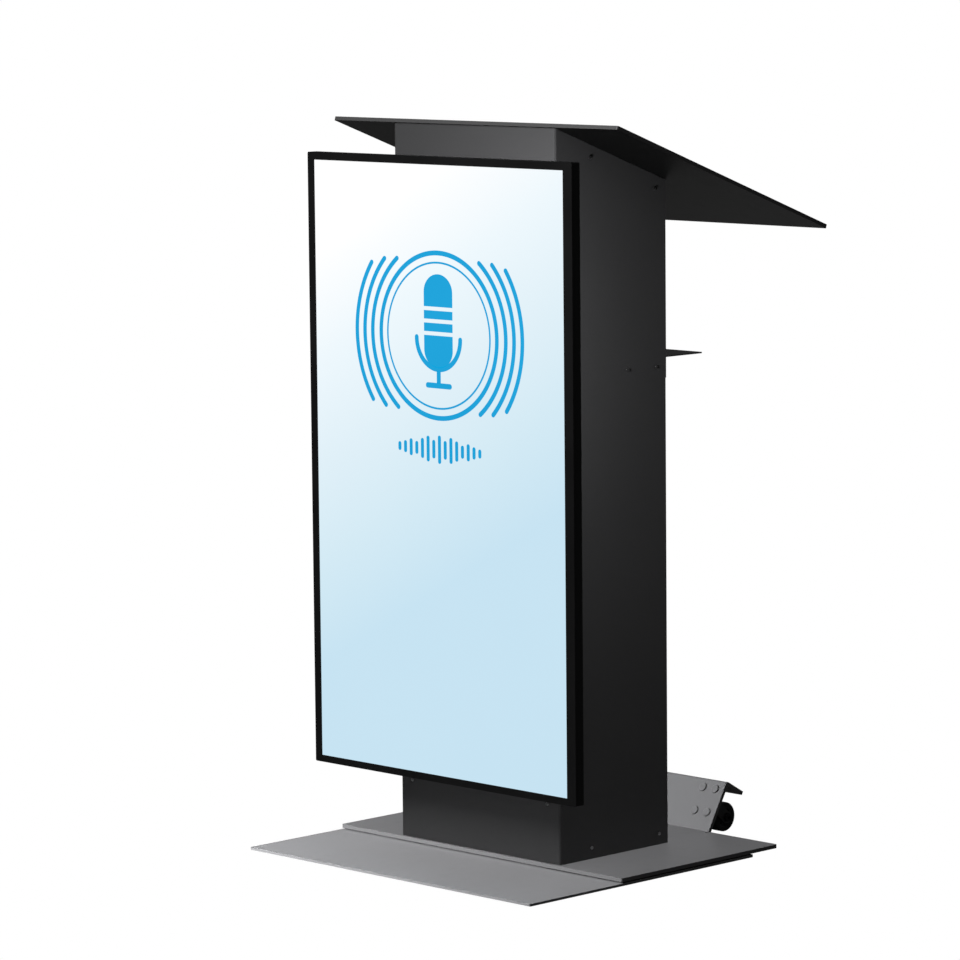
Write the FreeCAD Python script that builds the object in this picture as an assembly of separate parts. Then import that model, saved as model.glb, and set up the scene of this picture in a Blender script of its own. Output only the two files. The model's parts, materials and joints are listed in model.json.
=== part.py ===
import FreeCAD, Part
import math
import os
from FreeCAD import Vector as V

# ---------------------------------------------------------------------------
# Presentation lectern with a portrait display: a folded steel column on two
# stacked base plates, a sloped desk plate, a pull-through shelf, a rear
# service door and two fixed tilt-and-roll wheels on the base plate's tongue.
# Frame: origin at the bottom centre of the whole, +Z up, audience side -Y,
# presenter side +Y, millimetres.
# ---------------------------------------------------------------------------

# --- overall -------------------------------------------------------------
PLATE_W = 620.0            # width of both base plates and of the desk plate
HALF_D = 335.1             # half of the overall depth
PAD_T = 2.0                # floor pads
# --- base ----------------------------------------------------------------
LOW_T = 4.0                # lower base plate thickness
LOW_D = 493.0              # lower base plate depth
SPACER_T = 2.0             # gap between the two plates
UP_T = 6.0                 # upper base plate thickness
UP_D = 351.0               # upper base plate depth
UP_SETBACK = 197.1         # upper plate front edge behind the lower one's
TONGUE_W = 329.0           # width of the bent-up tongue
TONGUE_ANG = 60.0          # rise of the tongue from horizontal
TONGUE_L = 87.0            # length of the tongue along its slope
LIP_L = 44.5               # length of the lip bent back from the tongue
# --- column --------------------------------------------------------------
COL_W = 350.0
COL_D = 242.0
COL_T = 2.0                # column sheet
COL_R = 4.0                # outside bend radius
COL_SETBACK = 201.8        # column front face behind the lower plate's edge
FLANGE_W = 18.0            # rear return flanges
FLANGE_TOP = 745.0         # the flanges end here, below the shelf
# --- desk plate ----------------------------------------------------------
DESK_W = 616.0
DESK_L = 500.0
DESK_T = 6.0
DESK_ANG = 20.0
DESK_FRONT_Z = 1145.6      # height of the front top edge
# --- shelf ---------------------------------------------------------------
SHELF_Z = 778.4            # top face of the shelf
SHELF_T = 2.0
SHELF_OUT = 86.0           # overhang behind the column
SHELF_FLANGE = 30.0
# --- display -------------------------------------------------------------
DISP_SETBACK = 122.1       # display front plane behind the lower plate's edge
DISP_W = 574.0             # outer width of the display
SCR_H = 940.4              # visible screen height
SCR_Z0 = 141.5             # lower edge of the visible screen
BZ_LEFT = 14.5             # bezel on the -X side
BZ_RIGHT = 18.5            # wider bezel on the +X side
BZ_TOP = 12.0
BZ_BOT = 11.0
BZ_D = 17.0                # depth of the slim rim
BZ_LIP = 1.0               # front lip thickness
BZ_WALL = 3.0
BULGE_D = 25.0             # rear cover bulge behind the rim
# --- casters -------------------------------------------------------------
WHEEL_X = 134.0            # wheel centre plane either side
WHEEL_R = 23.5
WHEEL_W = 20.0
WHEEL_ALONG = 41.5         # axle position along the tongue
WHEEL_PERP = 47.5          # axle distance from the tongue's front face
AXLE_R = 4.0
BORE_CLEAR = 0.05
# --- fasteners -----------------------------------------------------------
SCREW_R = 1.5              # M3 column screws
SCREW_HEAD_R = 2.9
SCREW_HEAD_H = 1.6
# --- door ----------------------------------------------------------------
DOOR_Z0 = 116.0
DOOR_Z1 = 768.0
DOOR_DEPTH = 15.0
DOOR_GAP = 1.5
HINGE_R = 3.5              # hinge barrel radius
HINGE_PIN_R = 1.5
LOCK_X = 132.0
LOCK_Z = 430.0

# --- derived -------------------------------------------------------------
Y_FRONT = -HALF_D
Z_LOW0 = PAD_T
Z_LOW1 = Z_LOW0 + LOW_T
Z_UP0 = Z_LOW1 + SPACER_T
Z_UP1 = Z_UP0 + UP_T
UP_Y0 = Y_FRONT + UP_SETBACK
UP_Y1 = UP_Y0 + UP_D
CF = Y_FRONT + COL_SETBACK           # column front face
CR = CF + COL_D                      # column rear face
HW = COL_W / 2.0                     # column half width
IW = HW - COL_T                      # inner half width
DF = Y_FRONT + DISP_SETBACK          # display front plane
SIN = math.sin(math.radians(DESK_ANG))
COS = math.cos(math.radians(DESK_ANG))
DESK_Y0 = HALF_D - DESK_L * COS      # front top edge of the desk plate

PARTS = {}


def box(x0, x1, y0, y1, z0, z1):
    return Part.makeBox(x1 - x0, y1 - y0, z1 - z0, V(x0, y0, z0))


def cyl(p, r, h, d):
    return Part.makeCylinder(r, h, V(*p), V(*d))


def prism_x(pts, x0, x1):
    """Polygon of (y, z) points extruded along X."""
    w = Part.makePolygon([V(x0, y, z) for y, z in pts] + [V(x0, pts[0][0], pts[0][1])])
    return Part.Face(w).extrude(V(x1 - x0, 0, 0))


def prism_z(pts, z0, z1):
    w = Part.makePolygon([V(x, y, z0) for x, y in pts] + [V(pts[0][0], pts[0][1], z0)])
    return Part.Face(w).extrude(V(0, 0, z1 - z0))


def prism_y(pts, y0, y1):
    """Polygon of (x, z) points extruded along Y."""
    w = Part.makePolygon([V(x, y0, z) for x, z in pts] + [V(pts[0][0], y0, pts[0][1])])
    return Part.Face(w).extrude(V(0, y1 - y0, 0))


def edges_at(s, test):
    out = []
    for e in s.Edges:
        if len(e.Vertexes) == 2:
            a = e.Vertexes[0].Point
            b = e.Vertexes[1].Point
            if test(a, b):
                out.append(e)
    return out


def near(a, b, tol=1e-3):
    return abs(a - b) < tol


def along(a, b, axis):
    d = b - a
    v = (abs(d.x), abs(d.y), abs(d.z))
    o = [v[i] for i in range(3) if i != axis]
    return v[axis] > 1e-3 and max(o) < 1e-3


def fillet_axis(s, r, axis, test=None):
    es = edges_at(s, lambda a, b: along(a, b, axis) and (test is None or test(a, b)))
    return s.makeFillet(r, es) if es else s


def mirror(s):
    return s.mirror(V(0, 0, 0), V(1, 0, 0))


def hex_prism(p, af, h, d):
    """Hexagonal prism, af across flats, from p along d."""
    r = af / math.sqrt(3.0)
    base = Part.makePolygon([V(r * math.cos(math.radians(60 * i)), r * math.sin(math.radians(60 * i)), 0) for i in range(7)])
    s = Part.Face(base).extrude(V(0, 0, h))
    rot = FreeCAD.Rotation(V(0, 0, 1), V(*d))
    s.Placement = FreeCAD.Placement(V(*p), rot)
    return s


def button_screw(p, d, r, head_r, head_h, length, hexaf=3.0):
    """Domed head standing on the face at p, pointing along d, shank the other way.
    hexaf is the socket's size across flats, 0 for a plain mushroom head."""
    dx = V(*d)
    head = Part.makeCylinder(head_r, head_h, V(*p), dx)
    es = []
    top = V(*p) + dx * head_h
    for e in head.Edges:
        if len(e.Vertexes) == 1 and e.Curve.TypeId == "Part::GeomCircle":
            c = e.Curve.Center
            if (c - top).Length < 1e-3:
                es.append(e)
    head = head.makeFillet(head_h * 0.62, es)
    if hexaf:
        sock = hex_prism(tuple(top - dx * (head_h * 0.55)), hexaf, head_h, d)
        head = head.cut(sock)
    shank = Part.makeCylinder(r, length, V(*p) - dx * length, dx)
    return head.fuse(shank).removeSplitter()


def solids(s):
    return s.Solids


def put(name, *shapes):
    out = []
    for s in shapes:
        ss = s.Solids
        if not ss:
            raise ValueError("no solid in " + name)
        out += ss
    for s in out:
        if not s.isValid() or s.Volume <= 0:
            raise ValueError("bad solid in " + name)
    PARTS[name] = out


def desk_pt(s, d):
    """Point (y, z) at s along the desk plate's slope, d below its top face."""
    return (DESK_Y0 + s * COS - d * SIN, DESK_FRONT_Z - s * SIN - d * COS)


def under_z(y):
    """Height of the desk plate's underside at y."""
    y0, z0 = desk_pt(0, DESK_T)
    return z0 - (y - y0) * SIN / COS


# ===========================================================================
# base
# ===========================================================================
low = box(-PLATE_W / 2, PLATE_W / 2, Y_FRONT, Y_FRONT + LOW_D, Z_LOW0, Z_LOW1)
low = fillet_axis(low, 3.0, 2)
BOLT_XY = [(sx * 250.0, y) for sx in (-1, 1) for y in (UP_Y0 + 40.0, Y_FRONT + LOW_D - 45.0)]
for x, y in BOLT_XY:
    low = low.cut(cyl((x, y, Z_LOW0 - 1), 4.1, LOW_T + 2, (0, 0, 1)))
    low = low.cut(Part.makeCone(8.2, 4.1, 3.6, V(x, y, Z_LOW0), V(0, 0, 1)))
put("lower_base_plate", low)

PAD_XY = [(sx * 280.0, y) for sx in (-1, 1) for y in (Y_FRONT + 30.0, Y_FRONT + LOW_D / 2, Y_FRONT + LOW_D - 15.0 - 10.0)]
put("floor_pads", *[cyl((x, y, 0), 15.0, PAD_T, (0, 0, 1)) for x, y in PAD_XY])

# spacer washers between the plates, round the bolts and under the column
spacers = []
for x, y in BOLT_XY + [(0.0, UP_Y0 + 40.0), (0.0, Y_FRONT + LOW_D - 45.0)]:
    s = cyl((x, y, Z_LOW1), 16.0, SPACER_T, (0, 0, 1))
    if (x, y) in BOLT_XY:
        s = s.cut(cyl((x, y, Z_LOW1 - 1), 4.1, SPACER_T + 2, (0, 0, 1)))
    spacers.append(s)
put("plate_spacers", *spacers)

bolts = []
for x, y in BOLT_XY:
    b = Part.makeCone(8.0, 4.0, 3.55, V(x, y, Z_LOW0), V(0, 0, 1))
    b = b.fuse(cyl((x, y, Z_LOW0 + 3.5), 4.0, Z_UP1 - 1.0 - Z_LOW0 - 3.5, (0, 0, 1))).removeSplitter()
    b = b.cut(hex_prism((x, y, Z_LOW0 - 0.5), 5.0, 2.6, (0, 0, 1)))
    bolts.append(b)
put("base_plate_bolts", *bolts)

# upper plate with the bent tongue and lip, one piece of sheet
ta = math.radians(TONGUE_ANG)
T = (math.cos(ta), math.sin(ta))            # along the tongue (y, z)
N = (math.sin(ta), -math.cos(ta))           # rear-down normal (y, z)


def add(p, *terms):
    y, z = p
    for k, d in terms:
        y += k * d[0]
        z += k * d[1]
    return (y, z)


up = box(-PLATE_W / 2, PLATE_W / 2, UP_Y0, UP_Y1, Z_UP0, Z_UP1)
up = fillet_axis(up, 3.0, 2)
B = (UP_Y1, Z_UP1)
C = add(B, (TONGUE_L, T))
D = add(C, (LIP_L, N))
E = add(D, (-UP_T, T))
Fc = add(C, (UP_T, N), (-UP_T, T))
G = (UP_Y1 + UP_T * math.tan(ta / 2.0), Z_UP0)
prof = [(UP_Y1 - 60.0, Z_UP1), B, C, D, E, Fc, G, (UP_Y1 - 60.0, Z_UP0)]
tongue = prism_x(prof, -TONGUE_W / 2, TONGUE_W / 2)


def fil_x(s, pt, r):
    es = edges_at(s, lambda a, b: along(a, b, 0) and near(a.y, pt[0], 0.01) and near(a.z, pt[1], 0.01))
    return s.makeFillet(r, es)


tongue = fil_x(tongue, C, 5.0)
tongue = fil_x(tongue, Fc, 1.5)
tongue = fil_x(tongue, B, 1.5)
tongue = fil_x(tongue, G, 5.0)
up = up.fuse(tongue).removeSplitter()
# bend reliefs beside the tongue
for sx in (-1, 1):
    xa = sx * TONGUE_W / 2
    up = up.cut(box(min(xa, xa + sx * 3.0), max(xa, xa + sx * 3.0), UP_Y1 - 9.0, UP_Y1 + 1.0, Z_UP0 - 1, Z_UP1 + 1))
for x, y in BOLT_XY:
    up = up.cut(cyl((x, y, Z_UP0 - 1), 4.05, UP_T - 0.8 + 1, (0, 0, 1)))

BASE_ANGLE_BOLTS = [(sx * 154.0, y) for sx in (-1, 1) for y in (CF + 45.0, CR - 60.0)]
for x, y in BASE_ANGLE_BOLTS:
    up = up.cut(cyl((x, y, Z_UP0 + 1.0), 3.05, UP_T, (0, 0, 1)))

# caster bolt positions in tongue coordinates (x, along)
CAST_BOLTS = [(WHEEL_X + dx, a) for dx in (-13.0, 13.0) for a in (31.0, 71.0)]


def on_tongue(s):
    """Local frame: y along the tongue, -z away from its front face."""
    s.rotate(V(0, 0, 0), V(1, 0, 0), TONGUE_ANG)
    s.translate(V(0, UP_Y1, Z_UP1))
    return s


for sx in (-1, 1):
    for x, a in CAST_BOLTS:
        up = up.cut(on_tongue(cyl((sx * x, a, -UP_T - 1), 3.1, UP_T + 2, (0, 0, 1))))
put("upper_base_plate", up)

# ===========================================================================
# casters
# ===========================================================================
EAR_IN = 12.0
EAR_T = 2.5
PL_T = 2.5


def caster_bracket():
    plate = box(WHEEL_X - 21, WHEEL_X + 21, 22.0, 79.0, -UP_T - PL_T, -UP_T)
    plate = fillet_axis(plate, 4.0, 2)
    s = plate
    p0 = -UP_T - PL_T
    za = -WHEEL_PERP
    for k in (-1, 1):
        xa = WHEEL_X + k * EAR_IN
        xb = WHEEL_X + k * (EAR_IN + EAR_T)
        x0, x1 = min(xa, xb), max(xa, xb)
        pts = [(38.5, p0 + 0.5), (63.5, p0 + 0.5), (WHEEL_ALONG + 9.5, za + 4.0), (WHEEL_ALONG - 9.8, za + 2.0)]
        ear = prism_x(pts, x0, x1).fuse(cyl((x0, WHEEL_ALONG, za), 10.0, x1 - x0, (1, 0, 0)))
        s = s.fuse(ear)
    s = s.removeSplitter()
    s = s.cut(cyl((WHEEL_X - 30, WHEEL_ALONG, za), AXLE_R + 0.02, 60, (1, 0, 0)))
    for x, a in CAST_BOLTS:
        s = s.cut(cyl((x, a, p0 - 1), 3.1, PL_T + 2, (0, 0, 1)))
    return s


br = on_tongue(caster_bracket())
put("right_caster_bracket", br)
put("left_caster_bracket", mirror(br))

AX_Y, AX_Z = add(B, (WHEEL_ALONG, T), (WHEEL_PERP, N))
axles = []
for sx in (1, -1):
    xo = sx * (WHEEL_X + EAR_IN + EAR_T)
    xi = sx * (WHEEL_X - EAR_IN - EAR_T)
    d = (sx, 0, 0)
    sh = cyl((sx * (WHEEL_X - EAR_IN - EAR_T - 6.5), AX_Y, AX_Z), AXLE_R, 2 * (EAR_IN + EAR_T) + 6.5, d)
    head = cyl((xo, AX_Y, AX_Z), 7.0, 3.5, d)
    es = [e for e in head.Edges if len(e.Vertexes) == 1 and near(e.Curve.Center.x, xo + sx * 3.5)]
    head = head.makeFillet(1.2, es)
    head = head.cut(hex_prism((xo + sx * 1.4, AX_Y, AX_Z), 5.0, 4.0, d))
    nut = hex_prism((xi - sx * 4.2, AX_Y, AX_Z), 11.0, 4.2, d)
    axles.append(sh.fuse(head).fuse(nut).removeSplitter())
put("caster_axles", *axles)


def wheel_hub():
    w = WHEEL_W
    x0 = WHEEL_X - w / 2
    hub = cyl((x0 + 1.0, AX_Y, AX_Z), 17.0, w - 2.0, (1, 0, 0))
    # dished faces with a rim, leaving a central boss
    for xa in (x0 + 1.0, x0 + w - 4.0):
        ring = cyl((xa, AX_Y, AX_Z), 14.5, 3.0, (1, 0, 0)).cut(cyl((xa, AX_Y, AX_Z), 7.5, 3.0, (1, 0, 0)))
        hub = hub.cut(ring)
    boss = cyl((WHEEL_X - EAR_IN + 0.35, AX_Y, AX_Z), 7.5, 2 * EAR_IN - 0.7, (1, 0, 0))
    hub = hub.fuse(boss).removeSplitter()
    for i in range(6):
        a = math.radians(60 * i)
        cx, cz = AX_Y + 11.0 * math.cos(a), AX_Z + 11.0 * math.sin(a)
        hub = hub.cut(cyl((x0 - 1, cx, cz), 2.2, w + 2, (1, 0, 0)))
    hub = hub.cut(cyl((x0 - 10, AX_Y, AX_Z), AXLE_R + BORE_CLEAR, w + 20, (1, 0, 0)))
    return hub


def wheel_tyre():
    x0 = WHEEL_X - WHEEL_W / 2
    t = cyl((x0, AX_Y, AX_Z), WHEEL_R, WHEEL_W, (1, 0, 0))
    es = [e for e in t.Edges if len(e.Vertexes) == 1 and near(e.Curve.Radius, WHEEL_R)]
    t = t.makeFillet(2.5, es)
    return t.cut(cyl((x0 - 1, AX_Y, AX_Z), 17.0, WHEEL_W + 2, (1, 0, 0)))


put("right_wheel_hub", wheel_hub())
put("left_wheel_hub", mirror(wheel_hub()))
put("right_wheel_tyre", wheel_tyre())
put("left_wheel_tyre", mirror(wheel_tyre()))

cb, cn = [], []
for sx in (-1, 1):
    for x, a in CAST_BOLTS:
        cb.append(on_tongue(button_screw((sx * x, a, 0), (0, 0, 1), 3.0, 7.0, 2.2, 15.0, 0)))
        n = hex_prism((sx * x, a, -UP_T - PL_T - 5.0), 10.0, 5.0, (0, 0, 1)).cut(cyl((sx * x, a, -UP_T - PL_T - 6.0), 3.05, 8.0, (0, 0, 1)))
        cn.append(on_tongue(n))
put("caster_bolts", *cb)
put("caster_nuts", *cn)

# ===========================================================================
# column
# ===========================================================================
outer = box(-HW, HW, CF, CR, Z_UP1, 1200.0)
outer = fillet_axis(outer, COL_R, 2, lambda a, b: near(a.y, CF))
outer = fillet_axis(outer, 2.2, 2, lambda a, b: near(a.y, CR))
inner = box(-IW, IW, CF + COL_T, CR - COL_T, Z_UP1 - 5, 1210.0)
inner = fillet_axis(inner, COL_R - COL_T, 2, lambda a, b: near(a.y, CF + COL_T))
col = outer.cut(inner)
# rear opening between the return flanges, and full width above the flanges
col = col.cut(box(-HW + FLANGE_W, HW - FLANGE_W, CR - COL_T - 1, CR + 1, Z_UP1 - 5, 1210))
col = col.cut(box(-HW - 1, HW + 1, CR - 3.0, CR + 1, FLANGE_TOP, 1210))
col = col.fuse(box(-HW, -IW, CR - 3.2, CR, FLANGE_TOP, 1200)).fuse(box(IW, HW, CR - 3.2, CR, FLANGE_TOP, 1200)).removeSplitter()
# sloped top
yb, zb = desk_pt(-60, DESK_T)
ye, ze = desk_pt(560, DESK_T)
col = col.cut(prism_x([(yb, zb), (ye, ze), (ye, 1400), (yb, 1400)], -400, 400))

SIDE_SCREWS = [(CF + 75.2, 1091.7), (CF + 216.5, 1038.2),
               (CF + 155.3, SHELF_Z - 15.0), (CF + 218.5, SHELF_Z - 15.0),
               (CF + 69.4, Z_UP1 + 17.4), (CF + 221.3, Z_UP1 + 17.4)]
for sx in (-1, 1):
    for y, z in SIDE_SCREWS:
        col = col.cut(cyl((sx * (IW - 1), y, z), SCREW_R + 0.05, 4, (sx, 0, 0)))
FRONT_SCREWS = [(-149.0, 106.5), (149.0, 106.5)]
for x, z in FRONT_SCREWS:
    col = col.cut(cyl((x, CF - 1, z), SCREW_R + 0.05, COL_T + 2, (0, 1, 0)))
GROM_Z = 300.0
GROM_R = 22.0
col = col.cut(cyl((0, CF - 1, GROM_Z), GROM_R, COL_T + 2, (0, 1, 0)))
for x in (-165.0, 165.0):
    for z in (48.0, 98.0):
        col = col.cut(cyl((x, CR - COL_T - 1, z), 2.05, 4, (0, 1, 0)))
WALL_Z = SCR_Z0 + SCR_H / 2            # height of the display centre
WALL_SCREWS = [(sx * 130.0, WALL_Z + dz) for sx in (-1, 1) for dz in (-110.0, 110.0)]
for x, z in WALL_SCREWS:
    col = col.cut(cyl((x, CF - 1, z), 3.05, COL_T + 2, (0, 1, 0)))
put("column_shell", col)

g = cyl((0, CF - 2.0, GROM_Z), GROM_R + 3.0, COL_T + 4.0, (0, 1, 0))
g = g.cut(cyl((0, CF, GROM_Z), GROM_R + 4.0, COL_T, (0, 1, 0)).cut(cyl((0, CF, GROM_Z), GROM_R, COL_T, (0, 1, 0))))
g = g.cut(cyl((0, CF - 3, GROM_Z), GROM_R - 4.0, COL_T + 6, (0, 1, 0)))
put("column_grommet", g)

# angles that tie the column to the upper base plate
ang = box(IW - 3.0, IW, CF + 12.0, CR - 12.0, Z_UP1, Z_UP1 + 32.0).fuse(
    box(IW - 33.0, IW - 3.0, CF + 12.0, CR - 12.0, Z_UP1, Z_UP1 + 3.0)).removeSplitter()
for y, z in SIDE_SCREWS[4:]:
    ang = ang.cut(cyl((IW - 4, y, z), SCREW_R + 0.05, 5, (1, 0, 0)))
for x, y in BASE_ANGLE_BOLTS:
    if x > 0:
        ang = ang.cut(cyl((x, y, Z_UP1 - 1), 3.05, 5, (0, 0, 1)))
put("right_base_angle", ang)
put("left_base_angle", mirror(ang))
put("base_angle_bolts", *[hex_prism((x, y, Z_UP1 + 3.0), 10.0, 4.0, (0, 0, 1)).fuse(
    cyl((x, y, Z_UP0 + 1.2), 3.0, UP_T + 3.0 - 1.2 + 0.5, (0, 0, 1))).removeSplitter() for x, y in BASE_ANGLE_BOLTS])

side_screws = []
for sx in (-1, 1):
    for i, (y, z) in enumerate(SIDE_SCREWS):
        side_screws.append(button_screw((sx * HW, y, z), (sx, 0, 0), SCREW_R, SCREW_HEAD_R, SCREW_HEAD_H, 8.0, 2.0))
put("column_side_screws", *side_screws)

# cross brace behind the lower front face
brace = box(-IW + 6, IW - 6, CF + COL_T, CF + COL_T + 3.0, 86.0, 127.0).fuse(
    box(-IW + 6, IW - 6, CF + COL_T + 3.0, CF + COL_T + 28.0, 86.0, 89.0)).fuse(
    box(-IW + 6, IW - 6, CF + COL_T + 3.0, CF + COL_T + 28.0, 124.0, 127.0)).removeSplitter()
for x, z in FRONT_SCREWS:
    brace = brace.cut(cyl((x, CF, z), SCREW_R + 0.05, 8, (0, 1, 0)))
put("front_cross_brace", brace)
put("front_brace_screws", *[button_screw((x, CF, z), (0, -1, 0), SCREW_R, SCREW_HEAD_R, SCREW_HEAD_H, 8.0, 2.0) for x, z in FRONT_SCREWS])

# shelf: tray inside the column, plain plate where it overhangs
sw = IW - 0.3
shelf = box(-sw, sw, CF + COL_T + 0.5, CR + SHELF_OUT, SHELF_Z - SHELF_T, SHELF_Z)
shelf = fillet_axis(shelf, 3.0, 2)
for sx in (-1, 1):
    x0, x1 = sorted((sx * sw, sx * (sw - SHELF_T)))
    shelf = shelf.fuse(box(x0, x1, CF + COL_T + 4.0, CR - 4.0, SHELF_Z - SHELF_FLANGE, SHELF_Z - SHELF_T))
shelf = shelf.fuse(box(-sw + 4.0, sw - 4.0, CF + COL_T + 0.5, CF + 2 * COL_T + 0.5, SHELF_Z - SHELF_FLANGE, SHELF_Z - SHELF_T)).removeSplitter()
for sx in (-1, 1):
    for y, z in SIDE_SCREWS[2:4]:
        shelf = shelf.cut(cyl((sx * (sw - 4), y, z), SCREW_R + 0.05, 6, (sx, 0, 0)))
SG_X, SG_Y, SG_R = -110.0, CF + 60.0, 25.0
shelf = shelf.cut(cyl((SG_X, SG_Y, SHELF_Z - 5), SG_R, 10, (0, 0, 1)))
put("shelf", shelf)
sg = cyl((SG_X, SG_Y, SHELF_Z - SHELF_T - 2.0), SG_R + 3.0, SHELF_T + 4.0, (0, 0, 1))
sg = sg.cut(cyl((SG_X, SG_Y, SHELF_Z - SHELF_T), SG_R + 4, SHELF_T, (0, 0, 1)).cut(cyl((SG_X, SG_Y, SHELF_Z - SHELF_T), SG_R, SHELF_T, (0, 0, 1))))
sg = sg.cut(cyl((SG_X, SG_Y, SHELF_Z - 8), SG_R - 4.0, 14, (0, 0, 1)))
put("shelf_grommet", sg)

# desk plate and its two angle brackets
desk = prism_x([desk_pt(0, 0), desk_pt(DESK_L, 0), desk_pt(DESK_L, DESK_T), desk_pt(0, DESK_T)], -DESK_W / 2, DESK_W / 2)
nrm = V(0, SIN, COS)
es = []
for e in desk.Edges:
    a, b = e.Vertexes[0].Point, e.Vertexes[1].Point
    d = b - a
    if abs(d.Length - DESK_T) < 1e-3:
        es.append(e)
desk = desk.makeFillet(3.0, es)


def on_desk(s):
    """Local frame: y down the slope from the front top edge, z above the top face."""
    s.rotate(V(0, 0, 0), V(1, 0, 0), -DESK_ANG)
    s.translate(V(0, DESK_Y0, DESK_FRONT_Z))
    return s


DESK_BOLTS = [(sx * 152.0, s) for sx in (-1, 1) for s in (60.0, 205.0)]
for x, s in DESK_BOLTS:
    desk = desk.cut(on_desk(cyl((x, s, -DESK_T - 1), 3.05, 5.0, (0, 0, 1))))
put("desk_top_plate", desk)

s0, s1 = 28.0, 245.0
leg = box(IW - 3.0, IW, s0, s1, -DESK_T - 36.0, -DESK_T)
top = box(IW - 38.0, IW - 3.0, s0, s1, -DESK_T - 3.0, -DESK_T)
db = on_desk(leg.fuse(top).removeSplitter())
db = db.cut(box(0, 200, CR - 0.5, CR + 60, 900, 1200))
for y, z in SIDE_SCREWS[:2]:
    db = db.cut(cyl((IW - 4, y, z), SCREW_R + 0.05, 5, (1, 0, 0)))
for x, s in DESK_BOLTS:
    if x > 0:
        db = db.cut(on_desk(cyl((x, s, -DESK_T - 4), 3.05, 5, (0, 0, 1))))
put("right_desk_bracket", db)
put("left_desk_bracket", mirror(db))
dbolts = []
for x, s in DESK_BOLTS:
    h = hex_prism((x, s, -DESK_T - 3.0 - 4.0), 10.0, 4.0, (0, 0, 1)).fuse(cyl((x, s, -DESK_T - 3.5), 3.0, 3.5 + 3.8, (0, 0, 1)))
    dbolts.append(on_desk(h.removeSplitter()))
put("desk_plate_bolts", *dbolts)

# ===========================================================================
# rear service panel, inlet and rocker
# ===========================================================================
SP_Y1 = CR - COL_T
SP_Y0 = SP_Y1 - 2.0
sp = box(-IW + 4, IW - 4, SP_Y0, SP_Y1, Z_UP1 + 3.5, 112.0)
IN_X, IN_Z = -60.0, 64.0
sp = sp.cut(box(IN_X - 24.0, IN_X + 24.0, SP_Y0 - 1, SP_Y1 + 1, IN_Z - 14.0, IN_Z + 14.0))
for i in range(6):
    x0 = 20.0 + i * 18.0
    sp = sp.cut(box(x0, x0 + 6.0, SP_Y0 - 1, SP_Y1 + 1, 40.0, 88.0))
SP_SCREWS = [(sx * 165.0, z) for sx in (-1, 1) for z in (48.0, 98.0)]
for x, z in SP_SCREWS:
    sp = sp.cut(cyl((x, SP_Y0 - 1, z), 2.05, 4, (0, 1, 0)))
put("service_panel", sp)
put("service_panel_screws", *[button_screw((x, CR, z), (0, 1, 0), 2.0, 3.8, 2.0, 7.0, 2.5) for x, z in SP_SCREWS])

inlet = box(IN_X - 30, IN_X + 30, SP_Y1, SP_Y1 + 3.0, IN_Z - 17.0, IN_Z + 17.0)
inlet = fillet_axis(inlet, 3.0, 1)
inlet = inlet.fuse(box(IN_X - 23.7, IN_X + 23.7, SP_Y1 - 26.0, SP_Y1, IN_Z - 13.7, IN_Z + 13.7)).removeSplitter()
# connector recess with two chamfered corners
rx0, rx1 = IN_X - 21.0, IN_X + 3.5
rec = prism_y([(rx0, IN_Z - 8.2), (rx1, IN_Z - 8.2), (rx1, IN_Z + 4.0), (rx1 - 4.2, IN_Z + 8.2), (rx0 + 4.2, IN_Z + 8.2), (rx0, IN_Z + 4.0)], SP_Y1 - 15.0, SP_Y1 + 4.0)
inlet = inlet.cut(rec)
# rocker well
RK_X0, RK_X1 = IN_X + 7.5, IN_X + 21.5
RK_Z0, RK_Z1 = IN_Z - 10.8, IN_Z + 10.8
inlet = inlet.cut(box(RK_X0, RK_X1, SP_Y1 - 9.0, SP_Y1 + 4.0, RK_Z0, RK_Z1))
# blind bearings for the rocker's trunnions
inlet = inlet.cut(cyl((RK_X0 - 1.4, SP_Y1 - 3.0, IN_Z), 1.55, RK_X1 - RK_X0 + 2.8, (1, 0, 0)))
put("power_inlet", inlet)
pins = []
pc = (rx0 + rx1) / 2
for dx, dz in ((-7.0, -1.5), (7.0, -1.5), (0.0, 2.5)):
    pins.append(box(pc + dx - 1.0, pc + dx + 1.0, SP_Y1 - 15.0, SP_Y1 - 5.0, IN_Z + dz - 2.0, IN_Z + dz + 2.0))
put("inlet_pins", *pins)

# rocker: V-shaped face, pivot in the well; stored with its lower half pressed
RK_Y, RK_ZC = SP_Y1 - 2.0, IN_Z
rk = prism_x([(RK_Y - 4.0, RK_ZC - 4.0), (RK_Y - 4.0, RK_ZC + 4.0), (RK_Y + 1.0, RK_ZC + 9.6), (RK_Y + 4.4, RK_ZC + 9.6),
              (RK_Y + 2.8, RK_ZC), (RK_Y + 4.4, RK_ZC - 9.6), (RK_Y + 1.0, RK_ZC - 9.6)], RK_X0 + 0.4, RK_X1 - 0.4)
rk = rk.fuse(cyl((RK_X0 - 1.2, RK_Y - 1.0, RK_ZC), 1.5, RK_X1 - RK_X0 + 2.4, (1, 0, 0))).removeSplitter()
rk.rotate(V(0, RK_Y - 1.0, RK_ZC), V(1, 0, 0), -9.0)
put("inlet_rocker", rk)

# ===========================================================================
# rear door, hinges, cam lock
# ===========================================================================
DX = HW - FLANGE_W - DOOR_GAP
door = box(-DX, DX, CR - DOOR_DEPTH, CR, DOOR_Z0, DOOR_Z1)
door = door.cut(box(-DX + 2, DX - 2, CR - DOOR_DEPTH - 1, CR - 2, DOOR_Z0 + 2, DOOR_Z1 - 2))
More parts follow.
